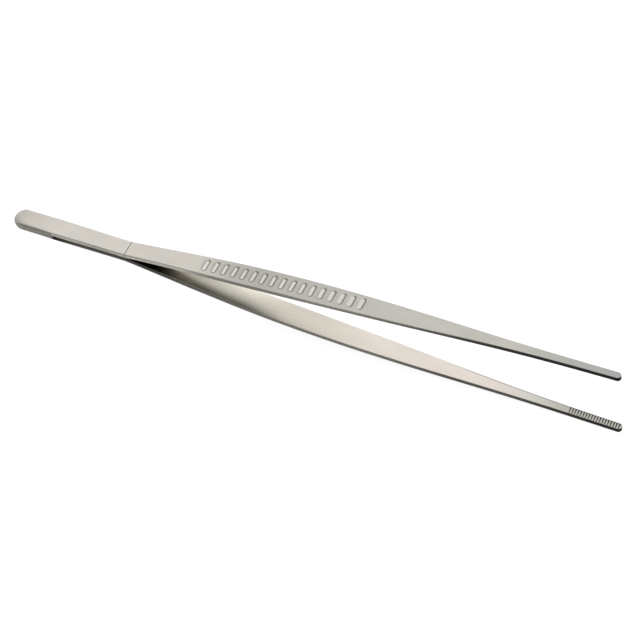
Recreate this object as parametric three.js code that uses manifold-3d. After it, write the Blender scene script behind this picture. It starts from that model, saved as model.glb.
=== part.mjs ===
// Aquascaping tweezers: two long spring arms of stainless strip, laid back to back and joined
// by a weld at the heel. Each arm runs straight along the heel, is creased once, and bows out
// to a rounded tip. The grip has a row of pressed cross slots, and the inside of each tip is
// cut with fine cross grooves.
//
// Frame, in millimetres: +X from the heel to the tips, +Y across the strip, +Z the way the
// upper arm opens. The origin is the centre of the bounding box.

import * as THREE from 'three';
import { mergeVertices } from 'three/addons/utils/BufferGeometryUtils.js';
import Module from 'manifold-3d';

const wasm = await Module();
wasm.setup();

// Driving dimensions. Distances along the arm are counted from the heel end.
const LENGTH = 300;
const CREASE_AT = 60;
const WELD_LENGTH = 21;
const WELD_THICKNESS = 0.2;
const STRIP_THICKNESS = 2.4;
const EDGE_CHAMFER = 0.3;
const END_FLAT_SHARE = 0.28;

// The blade leaves the crease at this angle. It bends back through one arc along the grip and
// a flatter one from there to the tip.
const OPENING_ANGLE = THREE.MathUtils.degToRad(8.14);
const GRIP_ENDS_AT = 185;
const GRIP_RADIUS = 1460;
const TAPER_RADIUS = 4200;

// An arm is one springy strip. It is split at the crease into a heel and a blade, so that the
// blade can close, with this much of the inner face left open between them.
const CREASE_GAP = 0.5;

// Full width of the strip at distances from the heel end.
const WIDTHS = [
  { at: 0, width: 8.7 },
  { at: 28, width: 8.6 },
  { at: CREASE_AT, width: 8.05 },
  { at: 98, width: 9.75 },
  { at: 132, width: 11 },
  { at: 165, width: 10.5 },
  { at: 205, width: 8.15 },
  { at: 240, width: 5.2 },
  { at: 268, width: 3.7 },
  { at: LENGTH, width: 3.2 },
];

const SLOT_COUNT = 17;
const FIRST_SLOT_AT = 100.9;
const SLOT_PITCH = 4.86;
const SLOT_LENGTH = 6.2;
const SLOT_WIDTH = 2.3;
const SLOT_CORNER = 0.8;
const SLOT_DEPTH = 0.35;

const GROOVE_COUNT = 19;
const FIRST_GROOVE_AT = 275.8;
const GROOVE_PITCH = 1.27;
const GROOVE_WIDTH = 0.8;
const GROOVE_DEPTH = 0.25;

// How finely the strip is divided.
const STATION_SPACING = 28;
const END_STATIONS = 6;
const CUT_MARGIN = 1;

const STEEL = { color: 0xc8c6c1, roughness: 0.36, metalness: 0.95 };
const WELDED_STEEL = { color: 0xa9a8a5, roughness: 0.45, metalness: 0.9 };

const widthCurve = new THREE.CubicInterpolant(
  WIDTHS.map((station) => station.at),
  WIDTHS.map((station) => station.width),
  1,
);

function halfWidth(at) {
  return widthCurve.evaluate(at)[0] / 2;
}

// A strip ends in a half circle, so its width shrinks within one radius of that end, down to
// a flat that takes a small share of the width.
function roundedHalfWidth(at, end) {
  const radius = halfWidth(end);
  const inside = Math.min(Math.abs(end - at) / radius, 1);
  const rounded = halfWidth(at) * Math.sqrt(1 - (1 - inside) ** 2);
  return Math.max(rounded, radius * END_FLAT_SHARE);
}

// Follows an arc from a known place on it to another distance along the arm. The arc bends
// the strip back towards level.
function alongArc(from, radius, at) {
  const angle = Math.asin(Math.sin(from.angle) - (at - from.x) / radius);
  return { x: at, z: from.z + radius * (Math.cos(angle) - Math.cos(from.angle)), angle };
}

// A point of the inner face, and the angle of the strip there.
function innerFace(at) {
  const heel = { x: at, z: WELD_THICKNESS / 2, angle: 0 };
  if (at <= CREASE_AT) {
    return heel;
  }
  const crease = { ...heel, x: CREASE_AT, angle: OPENING_ANGLE };
  if (at <= GRIP_ENDS_AT) {
    return alongArc(crease, GRIP_RADIUS, at);
  }
  return alongArc(alongArc(crease, GRIP_RADIUS, GRIP_ENDS_AT), TAPER_RADIUS, at);
}

// The same point, raised through the strip along its normal and moved across it.
function stripPoint(at, across, height) {
  const { x, z, angle } = innerFace(at);
  return [x - height * Math.sin(angle), across, z + height * Math.cos(angle)];
}

// The distances of the sections: crowded together around the half circle where the strip
// ends, then evenly spaced as far as its square end.
function stationsTo(roundEnd, squareEnd) {
  const radius = halfWidth(roundEnd);
  const towards = Math.sign(squareEnd - roundEnd);
  const stations = [];
  for (let i = 0; i <= END_STATIONS; i += 1) {
    const turn = (Math.PI / 2) * (i / END_STATIONS);
    stations.push(roundEnd + towards * radius * (1 - Math.cos(turn)));
  }
  const straightFrom = roundEnd + towards * radius;
  const count = Math.ceil(Math.abs(squareEnd - straightFrom) / STATION_SPACING);
  for (let i = 1; i <= count; i += 1) {
    stations.push(THREE.MathUtils.lerp(straightFrom, squareEnd, i / count));
  }
  return stations;
}

// A closed body through a row of equal-length rings, with a flat cap on its first and last.
function loft(rings) {
  const sides = rings[0].length;
  const indices = [];
  for (let ring = 0; ring + 1 < rings.length; ring += 1) {
    for (let side = 0; side < sides; side += 1) {
      const a = ring * sides + side;
      const b = ring * sides + ((side + 1) % sides);
      indices.push(a, b, a + sides, b, b + sides, a + sides);
    }
  }
  const last = (rings.length - 1) * sides;
  for (let side = 1; side + 1 < sides; side += 1) {
    indices.push(0, side + 1, side, last, last + side, last + side + 1);
  }
  const geometry = new THREE.BufferGeometry();
  geometry.setAttribute('position', new THREE.Float32BufferAttribute(rings.flat(2), 3));
  geometry.setIndex(indices);
  return geometry;
}

// The strip's cross-section at one station, as an eight-sided ring with chamfered edges.
// It runs anticlockwise seen from the heel end.
function section(at, half, bottom, top) {
  const chamfer = Math.min(EDGE_CHAMFER, half / 2, (top - bottom) / 4);
  return [
    stripPoint(at, half, bottom + chamfer),
    stripPoint(at, half, top - chamfer),
    stripPoint(at, half - chamfer, top),
    stripPoint(at, chamfer - half, top),
    stripPoint(at, -half, top - chamfer),
    stripPoint(at, -half, bottom + chamfer),
    stripPoint(at, chamfer - half, bottom),
    stripPoint(at, half - chamfer, bottom),
  ];
}

// Rings from the heel end towards the tips, whichever end is the round one.
function strip(roundEnd, squareEnd, bottom, top) {
  const stations = stationsTo(roundEnd, squareEnd).sort((a, b) => a - b);
  return loft(stations.map((at) => (
    section(at, roundedHalfWidth(at, roundEnd), bottom, top)
  )));
}

function toManifold(geometry) {
  const bare = geometry.clone();
  bare.deleteAttribute('normal');
  bare.deleteAttribute('uv');
  const merged = mergeVertices(bare);
  return new wasm.Manifold(new wasm.Mesh({
    numProp: 3,
    vertProperties: Float32Array.from(merged.attributes.position.array),
    triVerts: Uint32Array.from(merged.index.array),
  }));
}

function toGeometry(manifold) {
  const { vertProperties, triVerts } = manifold.getMesh();
  const geometry = new THREE.BufferGeometry();
  geometry.setAttribute('position', new THREE.BufferAttribute(vertProperties, 3));
  geometry.setIndex(new THREE.BufferAttribute(triVerts, 1));
  return geometry;
}

// Puts a cutter that was made around the origin onto the blade, turned to lie along it.
function placeOnBlade(geometry, at, height) {
  const [x, y, z] = stripPoint(at, 0, height);
  return geometry.clone().rotateY(-innerFace(at).angle).translate(x, y, z);
}

// A slot across the strip, with rounded corners. Its floor is at the origin and it cuts upwards.
function slotCutter() {
  const side = SLOT_WIDTH / 2 - SLOT_CORNER;
  const end = SLOT_LENGTH / 2 - SLOT_CORNER;
  const quarter = Math.PI / 2;
  const outline = new THREE.Shape();
  outline.absarc(side, end, SLOT_CORNER, 0, quarter);
  outline.absarc(-side, end, SLOT_CORNER, quarter, 2 * quarter);
  outline.absarc(-side, -end, SLOT_CORNER, 2 * quarter, 3 * quarter);
  outline.absarc(side, -end, SLOT_CORNER, 3 * quarter, 4 * quarter);
  outline.closePath();
  const options = { depth: SLOT_DEPTH + CUT_MARGIN, bevelEnabled: false, curveSegments: 3 };
  return new THREE.ExtrudeGeometry(outline, options);
}

// A V groove right across the strip. Its mouth is at the origin and it cuts upwards.
function grooveCutter() {
  const slope = GROOVE_WIDTH / 2 / GROOVE_DEPTH;
  const mouth = (GROOVE_DEPTH + CUT_MARGIN) * slope;
  const outline = new THREE.Shape([
    new THREE.Vector2(-mouth, -CUT_MARGIN),
    new THREE.Vector2(mouth, -CUT_MARGIN),
    new THREE.Vector2(0, GROOVE_DEPTH),
  ]);
  const reach = halfWidth(FIRST_GROOVE_AT) + CUT_MARGIN;
  const cutter = new THREE.ExtrudeGeometry(outline, { depth: 2 * reach, bevelEnabled: false });
  return cutter.translate(0, 0, -reach).rotateX(Math.PI / 2);
}

function bladeGeometry() {
  const start = CREASE_AT + CREASE_GAP / 2;
  let blade = toManifold(strip(LENGTH, start, 0, STRIP_THICKNESS));
  const slot = slotCutter();
  for (let i = 0; i < SLOT_COUNT; i += 1) {
    const at = FIRST_SLOT_AT + i * SLOT_PITCH;
    blade = blade.subtract(toManifold(placeOnBlade(slot, at, STRIP_THICKNESS - SLOT_DEPTH)));
  }
  const groove = grooveCutter();
  for (let i = 0; i < GROOVE_COUNT; i += 1) {
    const at = FIRST_GROOVE_AT + i * GROOVE_PITCH;
    blade = blade.subtract(toManifold(placeOnBlade(groove, at, 0)));
  }
  return toGeometry(blade);
}

function piece(name, geometry, finish) {
  const mesh = new THREE.Mesh(geometry, new THREE.MeshStandardMaterial(finish));
  mesh.name = name;
  return mesh;
}

function arm(name, heel, blade) {
  const group = new THREE.Group();
  group.add(piece(`${name}_heel`, heel, STEEL), piece(`${name}_blade`, blade, STEEL));
  return group;
}

const heel = strip(0, CREASE_AT - CREASE_GAP / 2, 0, STRIP_THICKNESS);
const weld = strip(0, WELD_LENGTH, -WELD_THICKNESS, 0);
const blade = bladeGeometry();

const upperArm = arm('upper_arm', heel, blade);
const lowerArm = arm('lower_arm', heel, blade);
lowerArm.rotation.x = Math.PI;

const tweezers = new THREE.Group();
tweezers.add(upperArm, lowerArm, piece('heel_weld', weld, WELDED_STEEL));
tweezers.position.x = -LENGTH / 2;

export default tweezers;
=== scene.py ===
"""Long stainless aquascaping tweezers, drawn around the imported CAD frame.

Each arm is one continuous strip here, where the CAD splits it at its crease so that the blade
can hinge. The strip is a fine lofted surface: sections are placed along the arm, and the
pressed slots, the crease and the tip grooves are cut into it as real shape. Lengths are in
metres, and distances along an arm are counted from the heel end.
"""

import math

import bpy
import numpy as np
from mathutils import Matrix, Vector


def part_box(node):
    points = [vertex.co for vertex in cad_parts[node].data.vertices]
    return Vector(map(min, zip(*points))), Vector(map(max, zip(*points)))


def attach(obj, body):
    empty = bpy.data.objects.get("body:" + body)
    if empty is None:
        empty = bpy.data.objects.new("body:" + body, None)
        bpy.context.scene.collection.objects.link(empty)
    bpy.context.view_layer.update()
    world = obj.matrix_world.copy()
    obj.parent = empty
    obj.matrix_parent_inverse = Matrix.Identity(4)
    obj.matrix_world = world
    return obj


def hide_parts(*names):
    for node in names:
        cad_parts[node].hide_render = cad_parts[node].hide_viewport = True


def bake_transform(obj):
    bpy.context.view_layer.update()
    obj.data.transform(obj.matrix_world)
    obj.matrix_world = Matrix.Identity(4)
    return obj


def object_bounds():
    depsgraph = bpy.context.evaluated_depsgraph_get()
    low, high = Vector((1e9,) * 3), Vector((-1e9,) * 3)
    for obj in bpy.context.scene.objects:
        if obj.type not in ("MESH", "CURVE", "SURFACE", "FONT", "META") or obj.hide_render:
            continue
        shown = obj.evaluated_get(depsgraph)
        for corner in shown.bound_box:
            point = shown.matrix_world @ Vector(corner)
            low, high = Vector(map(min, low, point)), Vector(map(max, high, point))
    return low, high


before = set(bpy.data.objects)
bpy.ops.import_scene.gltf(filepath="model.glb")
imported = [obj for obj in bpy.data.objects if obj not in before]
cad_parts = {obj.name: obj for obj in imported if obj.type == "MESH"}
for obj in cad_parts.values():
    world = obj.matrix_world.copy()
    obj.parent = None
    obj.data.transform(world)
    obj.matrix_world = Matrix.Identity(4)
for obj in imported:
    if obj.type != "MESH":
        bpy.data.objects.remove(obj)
cad_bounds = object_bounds()

MM = 0.001
WHITE = (1.0, 1.0, 1.0, 1.0)

# Places taken from the frame.
HEEL_END = cad_bounds[0][0]
LENGTH = cad_bounds[1][0] - cad_bounds[0][0]
FLOOR_HEIGHT = cad_bounds[0][2]
HEEL_LOW, HEEL_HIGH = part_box("upper_arm_heel")
BLADE_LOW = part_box("upper_arm_blade")[0]
WELD_LOW, WELD_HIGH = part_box("heel_weld")
STRIP_THICKNESS = HEEL_HIGH.z - HEEL_LOW.z
HEEL_INNER_HEIGHT = HEEL_LOW.z
CREASE_AT = (HEEL_HIGH.x + BLADE_LOW.x) / 2 - HEEL_END
WELD_LENGTH = WELD_HIGH.x - HEEL_END

# The bend of an arm, as in the CAD.
OPENING_ANGLE = math.radians(8.14)
GRIP_ENDS_AT = 185 * MM
GRIP_RADIUS = 1460 * MM
TAPER_RADIUS = 4200 * MM
CREASE_SOFTNESS = 0.6 * MM

# Full width of the strip at distances from the heel end, as in the CAD.
WIDTH_AT = np.array([0, 28, 60, 98, 132, 165, 205, 240, 268, 300]) * MM
WIDTH = np.array([8.7, 8.6, 8.05, 9.75, 11, 10.5, 8.15, 5.2, 3.7, 3.2]) * MM

SLOT_COUNT = 17
FIRST_SLOT_AT = 100.9 * MM
SLOT_PITCH = 4.86 * MM
SLOT_LENGTH = 6.2 * MM
SLOT_WIDTH = 2.3 * MM
SLOT_DEPTH = 0.36 * MM
SLOT_SHALLOW_DEPTH = 0.14 * MM
SLOT_WALL = 0.16 * MM
SLOT_CORNER = 0.8 * MM
RAMPED_SLOTS = (9, 15)
RAMP_LENGTH = 0.9 * MM

GROOVE_COUNT = 19
FIRST_GROOVE_AT = 275.8 * MM
GROOVE_PITCH = 1.27 * MM
GROOVE_WIDTH = 0.8 * MM
GROOVE_DEPTH = 0.28 * MM
GROOVE_FADE = 0.4 * MM

CREASE_MARK_WIDTH = 0.7 * MM
CREASE_MARK_DEPTH = 0.1 * MM

# How far the long edges are rounded. The welded heel is ground rounder, and its end most. Here
# and below, a pair named ENDS is where a change starts and where it is complete.
EDGE_RADIUS = 0.2 * MM
INNER_EDGE_RADIUS = 0.14 * MM
HEEL_EDGE_RADIUS = 0.55 * MM
HEEL_EDGE_ENDS = (WELD_LENGTH + MM, WELD_LENGTH - 5 * MM)
HEEL_END_RADIUS = 1.8 * MM
HEEL_END_ENDS = (5 * MM, 0.5 * MM)

# The outer face falls away towards both ends.
HEEL_ROLL_LENGTH = 5 * MM
HEEL_ROLL_DROP = 0.45 * MM
TIP_ROLL_LENGTH = 1.6 * MM
TIP_ROLL_DROP = 0.25 * MM


# ---------------------------------------------------------------- shape of an arm

def natural_spline(x, xs, ys):
    """Cubic spline through (xs, ys) with straight ends, at x."""
    steps = np.diff(xs)
    slopes = np.diff(ys) / steps
    n = len(xs)
    matrix = np.eye(n)
    right = np.zeros(n)
    for i in range(1, n - 1):
        matrix[i, i - 1:i + 2] = steps[i - 1], 2 * (steps[i - 1] + steps[i]), steps[i]
        right[i] = 6 * (slopes[i] - slopes[i - 1])
    curve = np.linalg.solve(matrix, right)
    i = np.clip(np.searchsorted(xs, x) - 1, 0, n - 2)
    h = steps[i]
    a = (xs[i + 1] - x) / h
    b = (x - xs[i]) / h
    bend = ((a ** 3 - a) * curve[i] + (b ** 3 - b) * curve[i + 1]) * h ** 2 / 6
    return a * ys[i] + b * ys[i + 1] + bend


def half_width(at):
    return natural_spline(np.asarray(at, float), WIDTH_AT, WIDTH) / 2


HEEL_RADIUS = float(half_width(0))
TIP_RADIUS = float(half_width(LENGTH))
TIP_WIDTH = 2 * TIP_RADIUS


def smoothstep(low, high, value):
    """0 at low and 1 at high, with a smooth change between them. low may be the larger one."""
    t = np.clip((value - low) / (high - low), 0, 1)
    return t * t * (3 - 2 * t)


def between(start, end, share):
    """The value that is a share of the way from start to end."""
    return start + (end - start) * share


def band(distance, core, reach):
    """1 within core of a line, fading to 0 at reach."""
    return smoothstep(reach, core, np.abs(distance))


def strip_angle(at):
    """Angle of the strip above level, turning softly through the crease."""
    grip = np.clip(at, CREASE_AT, GRIP_ENDS_AT) - CREASE_AT
    taper = np.clip(at - GRIP_ENDS_AT, 0, None)
    sine = math.sin(OPENING_ANGLE) - grip / GRIP_RADIUS - taper / TAPER_RADIUS
    turned = smoothstep(CREASE_AT - CREASE_SOFTNESS, CREASE_AT + CREASE_SOFTNESS, at)
    return np.arcsin(sine) * turned


# The inner face's rise along the arm, added up from its slope in 0.05 mm steps.
PATH_POINTS = 6001
PATH_AT = np.linspace(0, LENGTH, PATH_POINTS)
PATH_SLOPE = np.tan(strip_angle(PATH_AT))
PATH_RISE = np.concatenate(
    [[0], np.cumsum((PATH_SLOPE[1:] + PATH_SLOPE[:-1]) / 2 * np.diff(PATH_AT))]
)


def inner_height(at):
    return HEEL_INNER_HEIGHT + np.interp(at, PATH_AT, PATH_RISE)


def outline_half_width(at):
    """Half width with the round heel end and the round tip."""
    from_heel = np.clip(at / HEEL_RADIUS, 0, 1)
    from_tip = np.clip((LENGTH - at) / TIP_RADIUS, 0, 1)
    return half_width(at) * np.sqrt(1 - (1 - from_heel) ** 2) * np.sqrt(1 - (1 - from_tip) ** 2)


def edge_distance(at, across):
    """How far a point of the plan is from the strip's outline."""
    side = outline_half_width(at) - np.abs(across)
    heel = HEEL_RADIUS - np.hypot(HEEL_RADIUS - at, across)
    tip = TIP_RADIUS - np.hypot(at - (LENGTH - TIP_RADIUS), across)
    distance = np.where(at < HEEL_RADIUS, heel, side)
    distance = np.where(at > LENGTH - TIP_RADIUS, tip, distance)
    return np.clip(distance, 0, None)


def rounded_edge(distance, radius):
    """How far a face has dropped, this far in from an edge rounded to a radius."""
    inside = np.clip(radius - distance, 0, radius)
    return radius - np.sqrt(np.clip(radius ** 2 - inside ** 2, 0, None))


def edge_radius(at):
    """Radius of the outer face's edges."""
    ground = between(EDGE_RADIUS, HEEL_EDGE_RADIUS, smoothstep(*HEEL_EDGE_ENDS, at))
    return between(ground, HEEL_END_RADIUS, smoothstep(*HEEL_END_ENDS, at))


def slot_centre(number):
    """Distance of a slot's middle from the heel end. The slots are numbered from 0."""
    return FIRST_SLOT_AT + SLOT_PITCH * number


def each_slot(at, across):
    """For every pressed slot: how far a point is past its centre, how far outside its outline,
    and how much of a ramp it is. The slots nearest the tips have no wall on the heel side."""
    half = SLOT_WIDTH / 2
    past_end = np.abs(across) - (SLOT_LENGTH / 2 - SLOT_CORNER)
    for i in range(SLOT_COUNT):
        ramped = float(smoothstep(*RAMPED_SLOTS, i))
        along = at - slot_centre(i)
        stretched = np.where(along < 0, along * half / (half + RAMP_LENGTH * ramped), along)
        past_side = np.abs(stretched) - (half - SLOT_CORNER)
        rounded = np.hypot(np.clip(past_side, 0, None), np.clip(past_end, 0, None))
        outside = rounded + np.clip(np.maximum(past_side, past_end), None, 0) - SLOT_CORNER
        yield stretched, outside, ramped


def slot_depth(at, across):
    """Each slot deepens towards the tips, and ends there in a steep wall."""
    depth = np.zeros_like(at)
    for along, outside, ramped in each_slot(at, across):
        inside = smoothstep(SLOT_WALL / 2, -SLOT_WALL / 2, outside)
        share = np.clip(along / SLOT_WIDTH + 0.5, 0, 1)
        shallow = SLOT_SHALLOW_DEPTH * (1 - ramped)
        depth += inside * between(shallow, SLOT_DEPTH, share)
    return depth


def groove_share(at):
    """The fine V grooves across the inner face of the tip, as a share of their depth. It is
    below zero between them."""
    place = (at - FIRST_GROOVE_AT) / GROOVE_PITCH
    nearest = np.clip(np.round(place), 0, GROOVE_COUNT - 1)
    aside = np.abs(place - nearest) * GROOVE_PITCH
    return 1 - aside / (GROOVE_WIDTH / 2)


def groove_depth(at, across):
    """The grooves fade out at the rounded edges of the tip."""
    fade = smoothstep(0, GROOVE_FADE, edge_distance(at, across))
    return GROOVE_DEPTH * np.clip(groove_share(at), 0, None) * fade


def crease_mark(at):
    """The shallow line that the press leaves across the outer face at the crease."""
    aside = np.abs(at - CREASE_AT) / (CREASE_MARK_WIDTH / 2)
    return CREASE_MARK_DEPTH * np.clip(1 - aside, 0, 1)


def end_roll(at):
    """The outer face falls away a little towards both ends."""
    heel = np.clip(1 - at / HEEL_ROLL_LENGTH, 0, 1) ** 2 * HEEL_ROLL_DROP
    tip = np.clip(1 - (LENGTH - at) / TIP_ROLL_LENGTH, 0, 1) ** 2 * TIP_ROLL_DROP
    return heel + tip


def outer_surface(at, across):
    """Height of the outer face above the inner face's plane."""
    drop = rounded_edge(edge_distance(at, across), edge_radius(at))
    return STRIP_THICKNESS - drop - end_roll(at) - slot_depth(at, across) - crease_mark(at)


def inner_surface(at, across):
    """Height of the inner face. Its edge is square along the weld, which fills the joint."""
    radius = INNER_EDGE_RADIUS * smoothstep(WELD_LENGTH, WELD_LENGTH + MM, at)
    return rounded_edge(edge_distance(at, across), radius) + groove_depth(at, across)


# Painted light on the faces. Each is a share, from 0 to 1, of a painted highlight colour or a
# painted shade colour.
SLOT_TIP_SIDE = (-0.5 * MM, 0.7 * MM)
SLOT_LINE_INSET = 0.1 * MM
SLOT_LINE_CORE = 0.12 * MM
SLOT_LINE_REACH = 0.48 * MM
SLOT_LINE_DARK = 0.88
SLOT_LINE_HEEL_SIDE_DARK = 0.34
SLOT_FLOOR_ENDS = (-0.22 * MM, -0.66 * MM)
SLOT_FLOOR_SHIFT = 0.34 * MM
SLOT_FLOOR_BRIGHT = 0.54
RAMPED_FLOOR_BRIGHT = 0.42
# Painted shade along one edge of the ground heel.
HEEL_SHADE_ENDS = (WELD_LENGTH, WELD_LENGTH - 6 * MM)
HEEL_SHADE_SIDE = (MM, -2.5 * MM)
HEEL_SHADE_WIDTH = 1.5 * MM
HEEL_SHADE_DARK = 0.22
HEEL_END_SHADE_ENDS = (9 * MM, 2 * MM)
HEEL_END_SHADE_WIDTH = 3.8 * MM
HEEL_END_SHADE_DARK = 0.38
# A painted dark line of shade at the crease, and a band of painted highlight before it.
CREASE_LINE_PAST = 0.15 * MM
CREASE_LINE_CORE = 0.2 * MM
CREASE_LINE_REACH = 0.44 * MM
CREASE_SHINE_BEFORE = 0.55 * MM
CREASE_SHINE_CORE = 0.15 * MM
CREASE_SHINE_REACH = 0.45 * MM
CREASE_SHINE_BRIGHT = 0.4


def slot_painted_light(at, across):
    """A slot's floor gets a painted highlight, and its outline painted shade, most of all towards
    the tips.
    """
    bright = np.zeros_like(at)
    dark = np.zeros_like(at)
    for along, outside, ramped in each_slot(at, across):
        tip_side = smoothstep(*SLOT_TIP_SIDE, along)
        heel_side = SLOT_LINE_HEEL_SIDE_DARK * (1 - ramped) * (1 - tip_side)
        outline = band(outside + SLOT_LINE_INSET, SLOT_LINE_CORE, SLOT_LINE_REACH)
        dark = np.maximum(dark, outline * (heel_side + SLOT_LINE_DARK * tip_side))
        floor = smoothstep(*SLOT_FLOOR_ENDS, outside + SLOT_FLOOR_SHIFT * tip_side)
        bright = np.maximum(bright, between(SLOT_FLOOR_BRIGHT, RAMPED_FLOOR_BRIGHT, ramped) * floor)
    return bright, dark


def heel_painted_shade(at, across):
    """One edge of the ground heel gets painted shade, over a wider strip at the round end."""
    end = smoothstep(*HEEL_END_SHADE_ENDS, at)
    width = between(HEEL_SHADE_WIDTH, HEEL_END_SHADE_WIDTH, end)
    worn = smoothstep(width, 0, edge_distance(at, across))
    ground = smoothstep(*HEEL_SHADE_ENDS, at) * smoothstep(*HEEL_SHADE_SIDE, across)
    return between(HEEL_SHADE_DARK, HEEL_END_SHADE_DARK, end) * ground * worn


def outer_painted_light(at, across):
    """How much painted highlight and painted shade the outer face gets. The crease gets a
    painted dark line of shade, with a band of painted highlight beside it."""
    bright, dark = slot_painted_light(at, across)
    past_crease = at - CREASE_AT
    line = band(past_crease - CREASE_LINE_PAST, CREASE_LINE_CORE, CREASE_LINE_REACH)
    shine = band(past_crease + CREASE_SHINE_BEFORE, CREASE_SHINE_CORE, CREASE_SHINE_REACH)
    dark = np.maximum(np.maximum(dark, heel_painted_shade(at, across)), line)
    return np.maximum(bright, CREASE_SHINE_BRIGHT * shine), dark


# A groove's painted dark line of shade, in shares of the groove's depth where it starts and
# where it is full, at the plain edge of the strip and at its darker edge.
GROOVE_LINE_STARTS = (0.35, -0.15)
GROOVE_LINE_FULL = (0.95, 0.3)
GROOVE_DARK = 0.74
GROOVE_DARKER_AT_TIP = 0.1
GROOVE_DARKER_AT_EDGE = 0.3
# A fine painted dark line of shade along one edge of the plain taper.
TAPER_LINE_ENDS = (215 * MM, 235 * MM)
TAPER_LINE_WIDTH = (0.8 * MM, 0.3 * MM)
TAPER_LINE_DARK = 0.5


def inner_painted_shade(at, across):
    """The same for the inner face. Its tip grooves get painted shade, darkest at one edge, where
    the plain taper also has a fine painted dark line of shade."""
    at_edge = np.clip(0.5 - across / TIP_WIDTH, 0, 1)
    at_tip = smoothstep(FIRST_GROOVE_AT - GROOVE_PITCH, LENGTH, at)
    starts = between(*GROOVE_LINE_STARTS, at_edge)
    full = between(*GROOVE_LINE_FULL, at_edge)
    darkness = GROOVE_DARK + GROOVE_DARKER_AT_TIP * at_tip + GROOVE_DARKER_AT_EDGE * at_edge
    groove = darkness * smoothstep(starts, full, groove_share(at))
    taper = smoothstep(*TAPER_LINE_ENDS, at) * smoothstep(0, -MM, across)
    line = TAPER_LINE_DARK * taper * smoothstep(*TAPER_LINE_WIDTH, edge_distance(at, across))
    return np.zeros_like(at), np.maximum(groove, line)


# ---------------------------------------------------------------- meshes

SHARP_ANGLE = math.radians(50)

# How closely the sections are spaced: at the round ends, where the strip is plain, at the
# crease and the grooves, and at a slot's walls, its floor and the land after it.
END_STATIONS = 14
END_FIRST_TURN = math.radians(3)
PLAIN_SPACING = 2 * MM
CREASE_SPACING = 0.1 * MM
GROOVE_SPACING = GROOVE_PITCH / 12
WALL_SPACING = SLOT_WALL / 4
SLOT_FLOOR_REACH = SLOT_WIDTH / 2.8
SLOT_FLOOR_SPACING = SLOT_WIDTH / 8
LAND_START = SLOT_WIDTH / 1.6
LAND_SPACING = 0.5 * MM
LEAST_SPACING = 0.02 * MM
STATION_DECIMALS = 7


def spaced(start, end, step):
    return np.linspace(start, end, max(2, int(round((end - start) / step)) + 1))


def end_stations(radius):
    """Distances from a round end, at even turns of its half circle."""
    turn = np.linspace(END_FIRST_TURN, math.pi / 2, END_STATIONS)
    return radius * (1 - np.cos(turn))


def slot_stations(centre):
    """Sections at a slot's two walls, along its floor, and on the land after it."""
    half = SLOT_WIDTH / 2
    wall = spaced(-SLOT_WALL, SLOT_WALL, WALL_SPACING)
    floor = spaced(-SLOT_FLOOR_REACH, SLOT_FLOOR_REACH, SLOT_FLOOR_SPACING)
    land = spaced(LAND_START, SLOT_PITCH - LAND_START, LAND_SPACING)
    return centre + np.concatenate([wall - half, wall + half, floor, land])


def arm_stations():
    """Where the sections go: close together only where there is detail."""
    parts = [
        end_stations(HEEL_RADIUS),
        spaced(HEEL_RADIUS, CREASE_AT - MM, PLAIN_SPACING),
        spaced(CREASE_AT - MM, CREASE_AT + MM, CREASE_SPACING),
        spaced(CREASE_AT + MM, FIRST_SLOT_AT - SLOT_PITCH / 2, PLAIN_SPACING),
        spaced(slot_centre(SLOT_COUNT - 0.5), FIRST_GROOVE_AT - MM, PLAIN_SPACING),
        spaced(FIRST_GROOVE_AT - MM, LENGTH - TIP_RADIUS / 4, GROOVE_SPACING),
        LENGTH - end_stations(TIP_RADIUS),
    ]
    parts += [slot_stations(slot_centre(i)) for i in range(SLOT_COUNT)]
    stations = np.unique(np.round(np.concatenate(parts), STATION_DECIMALS))
    keep = np.concatenate([[True], np.diff(stations) > LEAST_SPACING])
    return stations[keep]


# Columns across a face: fixed ones through the slots, then ones that follow the edge.
SLOT_COLUMNS = np.array([0, 0.5, 1, 1.5, 1.9, 2.15, 2.35, 2.52, 2.67, 2.8, 2.9, 2.98,
                         3.06, 3.13, 3.21, 3.35, 3.6]) * MM
FIXED_SHARE = 0.92
BETWEEN_COLUMNS = np.array([0.3, 0.65])
EDGE_COLUMNS = np.array([1, 0.72, 0.48, 0.28, 0.14, 0.05, 0])
EDGE_SHARE = 0.4


def columns(at):
    """Distances across the strip from one edge to the other, at one section."""
    half = float(outline_half_width(at))
    edge = EDGE_COLUMNS * min(float(edge_radius(at)), EDGE_SHARE * half)
    outermost = half - edge[0]
    fixed = SLOT_COLUMNS * min(1, FIXED_SHARE * outermost / SLOT_COLUMNS[-1])
    middle = between(fixed[-1], outermost, BETWEEN_COLUMNS)
    positive = np.concatenate([fixed, middle, half - edge])
    return np.concatenate([-positive[:0:-1], positive])


def grid_faces(rings, sides):
    """Quads around a closed row of rings."""
    ring = np.arange(rings - 1)[:, None] * sides
    side = np.arange(sides)[None, :]
    following = (side + 1) % sides
    quads = np.stack([ring + side, ring + following, ring + sides + following,
                      ring + sides + side], axis=-1)
    return quads.reshape(-1, 4)


def cap_faces(count):
    """Quads that close the end of a ring made of an upper and a lower row of columns."""
    upper = np.arange(count - 1)
    lower = 2 * count - 1 - upper
    return np.stack([upper, lower, lower - 1, upper + 1], axis=-1)


def mesh_object(name, points, faces, attributes):
    mesh = bpy.data.meshes.new(name)
    mesh.from_pydata(points.tolist(), [], faces.tolist())
    mesh.polygons.foreach_set("use_smooth", np.ones(len(mesh.polygons), bool))
    for key, values in attributes.items():
        attribute = mesh.attributes.new(key, "FLOAT_VECTOR", "POINT")
        attribute.data.foreach_set("vector", values.astype(np.float32).ravel())
    mesh.update()
    mesh.validate()
    mesh.set_sharp_from_angle(angle=SHARP_ANGLE)
    piece = bpy.data.objects.new(name, mesh)
    bpy.context.scene.collection.objects.link(piece)
    return piece


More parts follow.
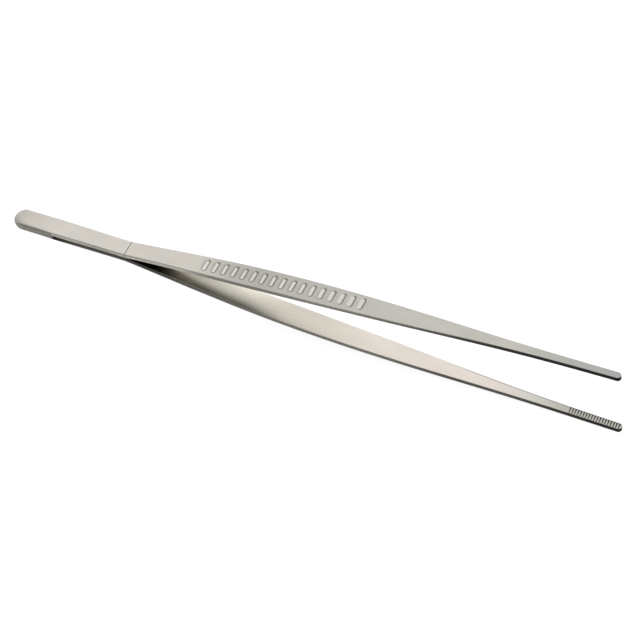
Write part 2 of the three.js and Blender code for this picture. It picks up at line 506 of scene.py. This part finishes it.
def strip_mesh(name, stations, upper_surface, lower_surface, side):
    """A strip between two surfaces. side is 1 for the upper arm and -1 for the lower arm."""
    across = np.array([columns(at) for at in stations])
    at = np.repeat(stations[:, None], across.shape[1], axis=1)
    upper = upper_surface(at, across)
    lower = lower_surface(at, across)
    marks = [np.concatenate([outer, inner[:, ::-1]], axis=1)
             for outer, inner in zip(outer_painted_light(at, across), inner_painted_shade(at, across))]
    at = np.concatenate([at, at], axis=1)
    height = np.concatenate([upper, lower[:, ::-1]], axis=1)
    across = np.concatenate([across, across[:, ::-1]], axis=1)
    angle = strip_angle(at)
    x = HEEL_END + at - height * np.sin(angle)
    z = inner_height(at) + height * np.cos(angle)
    points = np.stack([x, side * across, side * z], axis=-1)
    rings, sides = at.shape
    start = cap_faces(sides // 2)
    end = start[:, ::-1] + (rings - 1) * sides
    faces = np.concatenate([grid_faces(rings, sides), start, end])
    attributes = {
        "strip_place": np.stack([at, across, height], axis=-1),
        # Shares of painted highlight and painted shade at each point.
        "painted_light_shares": np.stack([*marks, 0 * at], axis=-1),
    }
    return mesh_object(name, points.reshape(-1, 3), faces, attributes)


# ---------------------------------------------------------------- materials

class Nodes:
    """Short names for building a node tree."""

    def __init__(self, tree):
        self.tree = tree

    def add(self, kind, inputs=None, **settings):
        node = self.tree.nodes.new(kind)
        for key, value in settings.items():
            setattr(node, key, value)
        for key, value in (inputs or {}).items():
            if isinstance(value, bpy.types.NodeSocket):
                self.tree.links.new(value, node.inputs[key])
            else:
                node.inputs[key].default_value = value
        return node

    def math(self, operation, a, b=0.0, clamp=False):
        node = self.add("ShaderNodeMath", {0: a, 1: b}, operation=operation, use_clamp=clamp)
        return node.outputs[0]

    def grey(self, value):
        return self.add("ShaderNodeCombineColor", {0: value, 1: value, 2: value}).outputs[0]

    def scaled(self, vector, scale):
        node = self.add("ShaderNodeVectorMath", {0: vector, 1: scale}, operation="MULTIPLY")
        return node.outputs[0]

    def noise(self, vector, detail=4.0, roughness=0.55):
        inputs = {"Vector": vector, "Scale": 1.0, "Detail": detail, "Roughness": roughness}
        return self.add("ShaderNodeTexNoise", inputs).outputs["Fac"]

    def range(self, value, low, high, to_low, to_high):
        inputs = {"Value": value, "From Min": low, "From Max": high,
                  "To Min": to_low, "To Max": to_high}
        return self.add("ShaderNodeMapRange", inputs).outputs["Result"]

    def ramp(self, value, stops):
        """A colour ramp through (position, grey) or (position, (red, green, blue)) stops."""
        node = self.add("ShaderNodeValToRGB", {"Fac": value})
        elements = node.color_ramp.elements
        while len(elements) < len(stops):
            elements.new(0.5)
        for element, (position, shade) in zip(elements, stops):
            element.position = position
            element.color = (*(shade if isinstance(shade, tuple) else (shade,) * 3), 1)
        return node.outputs["Color"]

    def smooth(self, value, low, high):
        inputs = {"Value": value, "From Min": low, "From Max": high}
        node = self.add("ShaderNodeMapRange", inputs, interpolation_type="SMOOTHSTEP")
        return node.outputs["Result"]

    def times(self, a, b):
        return self.mix(1.0, a, b, "MULTIPLY")

    def mix(self, factor, a, b, blend="MIX"):
        node = self.add("ShaderNodeMix", {"Factor": factor}, data_type="RGBA", blend_type=blend)
        for key, value in ((6, a), (7, b)):
            if isinstance(value, bpy.types.NodeSocket):
                self.tree.links.new(value, node.inputs[key])
            else:
                node.inputs[key].default_value = value
        return node.outputs[2]


# Colours along an arm: distances from the heel end in millimetres, and linear colours. The
# faces are satin, and the outer face is lighter and darker along its length. The edges are
# ground, and darker partly from painted shade. The inner face carries painted shade.
OUTER_COLOURS = [
    (0, (0.50, 0.48, 0.435)), (9, (0.61, 0.575, 0.52)), (22, (0.655, 0.62, 0.565)),
    (96, (0.655, 0.625, 0.565)), (112, (0.51, 0.49, 0.45)), (130, (0.48, 0.46, 0.425)),
    (155, (0.52, 0.50, 0.46)), (190, (0.55, 0.53, 0.49)), (250, (0.56, 0.545, 0.49)),
    (276, (0.47, 0.47, 0.44)), (300, (0.41, 0.41, 0.40)),
]
# Painted shade on the inner face: black at its root between the arms, lighter towards the tips.
INNER_SHADED_COLOURS = [
    (60, (0.05, 0.045, 0.04)), (74, (0.08, 0.073, 0.06)), (86, (0.42, 0.39, 0.32)),
    (95, (0.49, 0.46, 0.39)), (105, (0.54, 0.51, 0.44)), (140, (0.66, 0.62, 0.54)),
    (180, (0.79, 0.73, 0.65)), (240, (0.79, 0.72, 0.66)), (258, (0.66, 0.64, 0.58)),
    (272, (0.50, 0.49, 0.44)), (300, (0.50, 0.49, 0.45)),
]
WELD_COLOURS = [(0, 0.8), (3, 0.6), (7, 0.46)]
# The edge tones are partly painted shade, darkest towards the tips.
UPPER_EDGE_COLOURS = [
    *WELD_COLOURS, (21.2, 0.46), (21.7, 0.82), (30, 0.88), (45, 0.72), (60, 0.86), (90, 0.86),
    (105, 0.44), (125, 0.42), (160, 0.52), (200, 0.38), (222, 0.19), (250, 0.08), (300, 0.05),
]
# The lower arm's near edge carries a painted black shadow where the arms part.
LOWER_EDGE_COLOURS = [
    *WELD_COLOURS, (21.3, 0.46), (21.6, 0.005), (23, 0.012), (27, 0.055), (32, 0.12), (60, 0.12),
    (70, 0.08), (100, 0.19), (140, 0.40), (185, 0.46), (222, 0.26), (245, 0.28), (262, 0.2),
    (269, 0.11), (300, 0.06),
]
FAR_EDGE_COLOURS = [*WELD_COLOURS, (185, 0.46), (222, 0.28), (260, 0.2), (300, 0.12)]
EDGE_WARMTH = (1.0, 0.955, 0.86, 1)
# The painted highlight colour for the slot floors and the crease, and the painted shade colour,
# with how far it covers, for the slot outlines, the heel edge, the crease line, the tip grooves and
# the taper line.
HIGHLIGHT_COLOUR = (0.92, 0.90, 0.86, 1)
SHADE_COLOUR = (0.05, 0.046, 0.04, 1)
SHADE_COVER = 0.95

# Shares along an arm. CORNER_STRENGTHS is a fine painted dark line of shade above an edge, the
# lit strengths are painted light on the outer half of an edge, and INNER_TILTS is the slope of
# the painted shade across the inner face, even at a half.
CORNER_STRENGTHS = [(21, 0.0), (22, 0.75), (90, 0.75), (105, 0.0)]
UPPER_LIT_STRENGTHS = [
    (140, 0.0), (160, 0.2), (185, 0.25), (200, 0.45), (220, 0.8), (240, 0.35), (265, 0.1),
    (300, 0.0),
]
LOWER_LIT_STRENGTHS = [(21, 0.0), (24, 0.3), (28, 1.0), (95, 0.8), (130, 0.1), (200, 0.0)]
WELD_LIT_STRENGTHS = [(0, 0.0), (20, 0.0)]
LIT_GAIN = 5
INNER_TILTS = [
    (76, 0.5), (85, 0.25), (92, 0.38), (99, 0.55), (106, 0.65), (119, 0.78), (128, 0.66),
    (140, 0.5),
]
TILT_HALF_WIDTH = 5 * MM

# Noise per metre along, across and through the strip, and what each noise does to the steel.
FINE_GRAIN = (260, 9000, 9000)
BROAD_GRAIN = (35, 1600, 1500)
CLOUDS = (60, 160, 160)
PITS = (900, 900, 900)
NOISE_ENDS = (0.3, 0.7)
FINE_GRAIN_SHARE = 0.6
FACE_GRAIN_SHADES = (0.98, 1.015)
FACE_CLOUD_SHADES = (0.95, 1.04)
EDGE_PIT_SHADES = (0.82, 1.18)
GRAIN_ROUGHNESS = (-0.04, 0.05)
CLOUD_ROUGHNESS = (0.22, 0.29)
EDGE_ROUGHNESS = 0.14
GRAIN_BUMP_STRENGTH = 0.2
GRAIN_BUMP_DEPTH = 0.02 * MM

# How upright a surface's normal is on an edge and on the corner above it, and how high through
# the strip's thickness the outer face, the corner and the lit half of an edge are.
EDGE_UPRIGHT_ENDS = (0.97, 0.5)
CORNER_UPRIGHT_ENDS = (0.995, 0.93)
OUTER_FACE_ENDS = (0.45, 0.55)
CORNER_HEIGHT_ENDS = (0.82, 0.9)
LIT_HEIGHT_ENDS = (0.55, 0.95)


def from_noise(nodes, noise, results):
    return nodes.range(noise, *NOISE_ENDS, *results)


def along_arm(nodes, at, colours):
    return nodes.ramp(at, [(distance * MM / LENGTH, colour) for distance, colour in colours])


class StripPlace:
    """Where a point is on its strip, as sockets: along it, across it, its height through it,
    and how upright its surface is."""

    def __init__(self, nodes):
        place = nodes.add("ShaderNodeAttribute", attribute_name="strip_place")
        normal = nodes.add("ShaderNodeNewGeometry").outputs["Normal"]
        facing = nodes.add("ShaderNodeSeparateXYZ", {0: normal}).outputs["Z"]
        self.vector = place.outputs["Vector"]
        split = nodes.add("ShaderNodeSeparateXYZ", {0: self.vector}).outputs
        self.at = nodes.math("DIVIDE", split["X"], LENGTH)
        self.across = split["Y"]
        self.height = split["Z"]
        self.upright = nodes.math("ABSOLUTE", facing)

    def is_above(self, nodes, low, high):
        """From 0 to 1 between two shares of the strip's thickness."""
        return nodes.smooth(self.height, low * STRIP_THICKNESS, high * STRIP_THICKNESS)


def grain_noise(nodes, place):
    """Grain along the strip: fine lines over broader ones."""
    fine = nodes.noise(nodes.scaled(place.vector, FINE_GRAIN), detail=5.0)
    broad = nodes.noise(nodes.scaled(place.vector, BROAD_GRAIN), detail=3.0)
    return nodes.math("ADD", nodes.math("MULTIPLY", fine, FINE_GRAIN_SHARE),
                      nodes.math("MULTIPLY", broad, 1 - FINE_GRAIN_SHARE))


def face_colour(nodes, place, bright, grain, clouds):
    """Satin steel, shaded by its grain and softer cloudy wear, with painted highlights, and painted
    shade on the inner face.
    """
    tilt = nodes.math("SUBTRACT", along_arm(nodes, place.at, INNER_TILTS), 0.5)
    aside = nodes.math("DIVIDE", place.across, -TILT_HALF_WIDTH)
    tilt = nodes.range(nodes.math("MULTIPLY", tilt, aside), -0.5, 0.5, 0.0, 2.0)
    inner = nodes.times(along_arm(nodes, place.at, INNER_SHADED_COLOURS), nodes.grey(tilt))
    outer = along_arm(nodes, place.at, OUTER_COLOURS)
    face = nodes.mix(place.is_above(nodes, *OUTER_FACE_ENDS), inner, outer)
    face = nodes.mix(bright, face, HIGHLIGHT_COLOUR)
    shade = nodes.math("MULTIPLY", from_noise(nodes, grain, FACE_GRAIN_SHADES),
                       from_noise(nodes, clouds, FACE_CLOUD_SHADES))
    return nodes.times(face, nodes.grey(shade))


def edge_colour(nodes, place, side, colours, lit_strengths):
    """Ground steel with fine pits. The corner above an edge gets a fine painted dark line of shade,
    and the outer half gets painted light. The far edges, seen from the camera, are plainer than
    the near ones, which carry the painted shade and light."""
    pits = nodes.noise(nodes.scaled(place.vector, PITS), detail=4.0)
    shade = from_noise(nodes, pits, EDGE_PIT_SHADES)
    corner = nodes.math("MULTIPLY", nodes.smooth(place.upright, *CORNER_UPRIGHT_ENDS),
                        place.is_above(nodes, *CORNER_HEIGHT_ENDS))
    corner = nodes.math("MULTIPLY", corner, along_arm(nodes, place.at, CORNER_STRENGTHS))
    shade = nodes.math("MULTIPLY", shade, nodes.math("SUBTRACT", 1.0, corner))
    is_near = nodes.smooth(nodes.math("MULTIPLY", place.across, side), MM, -MM)
    lit = nodes.math("MULTIPLY", place.is_above(nodes, *LIT_HEIGHT_ENDS),
                     along_arm(nodes, place.at, lit_strengths))
    lit = nodes.math("MULTIPLY", lit, is_near)
    shade = nodes.math("MULTIPLY", shade, nodes.range(lit, 0, 1, 1, LIT_GAIN))
    edge = nodes.mix(is_near, along_arm(nodes, place.at, FAR_EDGE_COLOURS),
                     along_arm(nodes, place.at, colours))
    return nodes.times(nodes.times(edge, nodes.grey(shade)), EDGE_WARMTH)


def steel_material(name, side, edge_colours, lit_strengths):
    """Stainless steel with satin faces and ground edges, with painted shade and painted highlights
    over the pressed marks. side is 1 for the upper arm and -1 for the lower arm."""
    material = bpy.data.materials.new(name)
    material.use_nodes = True
    material.node_tree.nodes.clear()
    nodes = Nodes(material.node_tree)
    place = StripPlace(nodes)
    marks = nodes.add("ShaderNodeAttribute", attribute_name="painted_light_shares").outputs["Vector"]
    bright, dark = nodes.add("ShaderNodeSeparateXYZ", {0: marks}).outputs[:2]
    grain = grain_noise(nodes, place)
    clouds = nodes.noise(nodes.scaled(place.vector, CLOUDS), detail=3.0)

    is_edge = nodes.smooth(place.upright, *EDGE_UPRIGHT_ENDS)
    face = face_colour(nodes, place, bright, grain, clouds)
    edge = edge_colour(nodes, place, side, edge_colours, lit_strengths)
    # Painted shade over the slot outlines, the heel edge, the crease line, the tip grooves and the
    # taper line.
    painted_shade = nodes.math("MULTIPLY", dark, SHADE_COVER, clamp=True)
    base = nodes.mix(painted_shade, nodes.mix(is_edge, face, edge), SHADE_COLOUR)

    rough = nodes.math("ADD", from_noise(nodes, grain, GRAIN_ROUGHNESS),
                       from_noise(nodes, clouds, CLOUD_ROUGHNESS))
    rough = nodes.math("ADD", rough, nodes.math("MULTIPLY", is_edge, EDGE_ROUGHNESS))
    bump = nodes.add("ShaderNodeBump", {
        "Height": grain, "Strength": GRAIN_BUMP_STRENGTH, "Distance": GRAIN_BUMP_DEPTH})
    shader = nodes.add("ShaderNodeBsdfPrincipled", {
        "Base Color": base, "Metallic": 1.0, "Roughness": rough,
        "Normal": bump.outputs["Normal"]})
    nodes.add("ShaderNodeOutputMaterial", {"Surface": shader.outputs[0]})
    return material


# ---------------------------------------------------------------- the object

# How far apart the weld's sections are.
WELD_SPACING = 1 * MM


def build_arm(name, side, material):
    """One continuous strip, bent softly at its crease."""
    arm = strip_mesh(name, arm_stations(), outer_surface, inner_surface, side)
    arm.data.materials.append(material)
    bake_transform(arm)
    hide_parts(f"{name}_heel", f"{name}_blade")
    return arm


def build_weld(material):
    """The weld fills the joint between the two heels, ground flush with their edges."""
    stations = np.unique(np.concatenate([
        end_stations(HEEL_RADIUS), spaced(HEEL_RADIUS, WELD_LENGTH, WELD_SPACING)]))
    depth = WELD_HIGH.z - WELD_LOW.z
    weld = strip_mesh("weld_seam", stations, lambda at, across: np.zeros_like(at),
                      lambda at, across: np.full_like(at, -depth), 1)
    weld.data.materials.append(material)
    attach(weld, "heel")
    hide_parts("heel_weld")
    return weld


build_arm("upper_arm", 1, steel_material(
    "upper_steel", 1, UPPER_EDGE_COLOURS, UPPER_LIT_STRENGTHS))
build_arm("lower_arm", -1, steel_material(
    "lower_steel", -1, LOWER_EDGE_COLOURS, LOWER_LIT_STRENGTHS))
build_weld(steel_material("ground_weld", 1, WELD_COLOURS, WELD_LIT_STRENGTHS))


# ---------------------------------------------------------------- floor, light and camera

FLOOR_REACH = 4.0
FLOOR_COLOUR = (0.3, 0.3, 0.3, 1)
FLOOR_GLOW = 0.82

# Grey levels of the studio. Heights run from 0 straight below to 1 straight above, and the
# pairs named ENDS are in parts of a direction along X or Z.
TENT = [(0.0, 0.0), (0.42, 0.0), (0.5, 0.55), (0.75, 0.95), (0.9, 1.0)]
BELOW = [(0.0, 0.62), (0.25, 0.5), (0.42, 0.2), (0.5, 0.0)]
BELOW_TOWARDS_TIPS = [(0.0, 1.0), (1.0, 0.3)]
TOWARDS_TIPS_ENDS = (-0.45, -0.1)
PANEL_SIDE_ENDS = (-0.45, -0.85)
PANEL_HEIGHT_ENDS = (0.6, 0.2)
PANEL_STRENGTH = 0.45


def build_floor():
    """A pale table that glows a little, and that is clear when it is seen from below."""
    mesh = bpy.data.meshes.new("floor")
    reach = FLOOR_REACH
    corners = [(-reach, -reach, 0), (reach, -reach, 0), (reach, reach, 0), (-reach, reach, 0)]
    mesh.from_pydata(corners, [], [(0, 1, 2, 3)])
    floor = bpy.data.objects.new("floor", mesh)
    floor.location.z = FLOOR_HEIGHT
    bpy.context.scene.collection.objects.link(floor)
    floor.visible_glossy = False
    material = bpy.data.materials.new("pale_floor")
    material.use_nodes = True
    material.node_tree.nodes.clear()
    nodes = Nodes(material.node_tree)
    shader = nodes.add("ShaderNodeBsdfPrincipled", {
        "Base Color": FLOOR_COLOUR, "Roughness": 0.9,
        "Emission Color": WHITE, "Emission Strength": FLOOR_GLOW})
    from_below = nodes.add("ShaderNodeNewGeometry").outputs["Backfacing"]
    surface = nodes.add("ShaderNodeMixShader", {
        0: from_below, 1: shader.outputs[0],
        2: nodes.add("ShaderNodeBsdfTransparent").outputs[0]})
    nodes.add("ShaderNodeOutputMaterial", {"Surface": surface.outputs[0]})
    mesh.materials.append(material)


def build_world():
    """A soft tent of light overhead, with a panel beyond the heel, and the table below lit from
    the heel's side. The camera itself sees a plain white backdrop."""
    world = bpy.data.worlds.new("studio")
    bpy.context.scene.world = world
    world.use_nodes = True
    world.node_tree.nodes.clear()
    nodes = Nodes(world.node_tree)
    direction = nodes.add("ShaderNodeTexCoord").outputs["Generated"]
    split = nodes.add("ShaderNodeSeparateXYZ", {0: direction}).outputs
    height = nodes.range(split["Z"], -1, 1, 0, 1)
    towards_tips = nodes.smooth(split["X"], *TOWARDS_TIPS_ENDS)
    below = nodes.times(nodes.ramp(height, BELOW), nodes.ramp(towards_tips, BELOW_TOWARDS_TIPS))
    light = nodes.mix(1.0, nodes.ramp(height, TENT), below, "ADD")
    slope = nodes.math("ABSOLUTE", split["Z"])
    panel = nodes.math("MULTIPLY", nodes.smooth(split["X"], *PANEL_SIDE_ENDS),
                       nodes.smooth(slope, *PANEL_HEIGHT_ENDS))
    panel = nodes.math("MULTIPLY", panel, PANEL_STRENGTH)
    light = nodes.mix(1.0, light, nodes.grey(panel), "ADD")
    seen = nodes.add("ShaderNodeLightPath").outputs["Is Camera Ray"]
    light = nodes.mix(seen, light, WHITE)
    background = nodes.add("ShaderNodeBackground", {"Color": light, "Strength": 1.0})
    nodes.add("ShaderNodeOutputWorld", {"Surface": background.outputs[0]})


CAMERA_AZIMUTH = math.radians(32.46)
CAMERA_ELEVATION = math.radians(51.29)
CAMERA_DISTANCE = 1.206
CAMERA_ROLL = math.radians(8.96)
CAMERA_LENS = 151.96
SENSOR_WIDTH = 36
CAMERA_AIM = Vector((7.23, -1.93, -4.33)) * MM


def build_camera():
    data = bpy.data.cameras.new("camera")
    data.sensor_width = SENSOR_WIDTH
    data.lens = CAMERA_LENS
    camera = bpy.data.objects.new("camera", data)
    bpy.context.scene.collection.objects.link(camera)
    level = math.cos(CAMERA_ELEVATION)
    place = CAMERA_DISTANCE * Vector((level * math.sin(CAMERA_AZIMUTH),
                                      -level * math.cos(CAMERA_AZIMUTH),
                                      math.sin(CAMERA_ELEVATION)))
    look = (CAMERA_AIM - place).to_track_quat("-Z", "Y").to_matrix().to_4x4()
    roll = Matrix.Rotation(-CAMERA_ROLL, 4, "Z")
    camera.matrix_world = Matrix.Translation(place) @ look @ roll
    bpy.context.scene.camera = camera


build_floor()
build_world()
build_camera()
bpy.context.scene.view_settings.view_transform = "Standard"
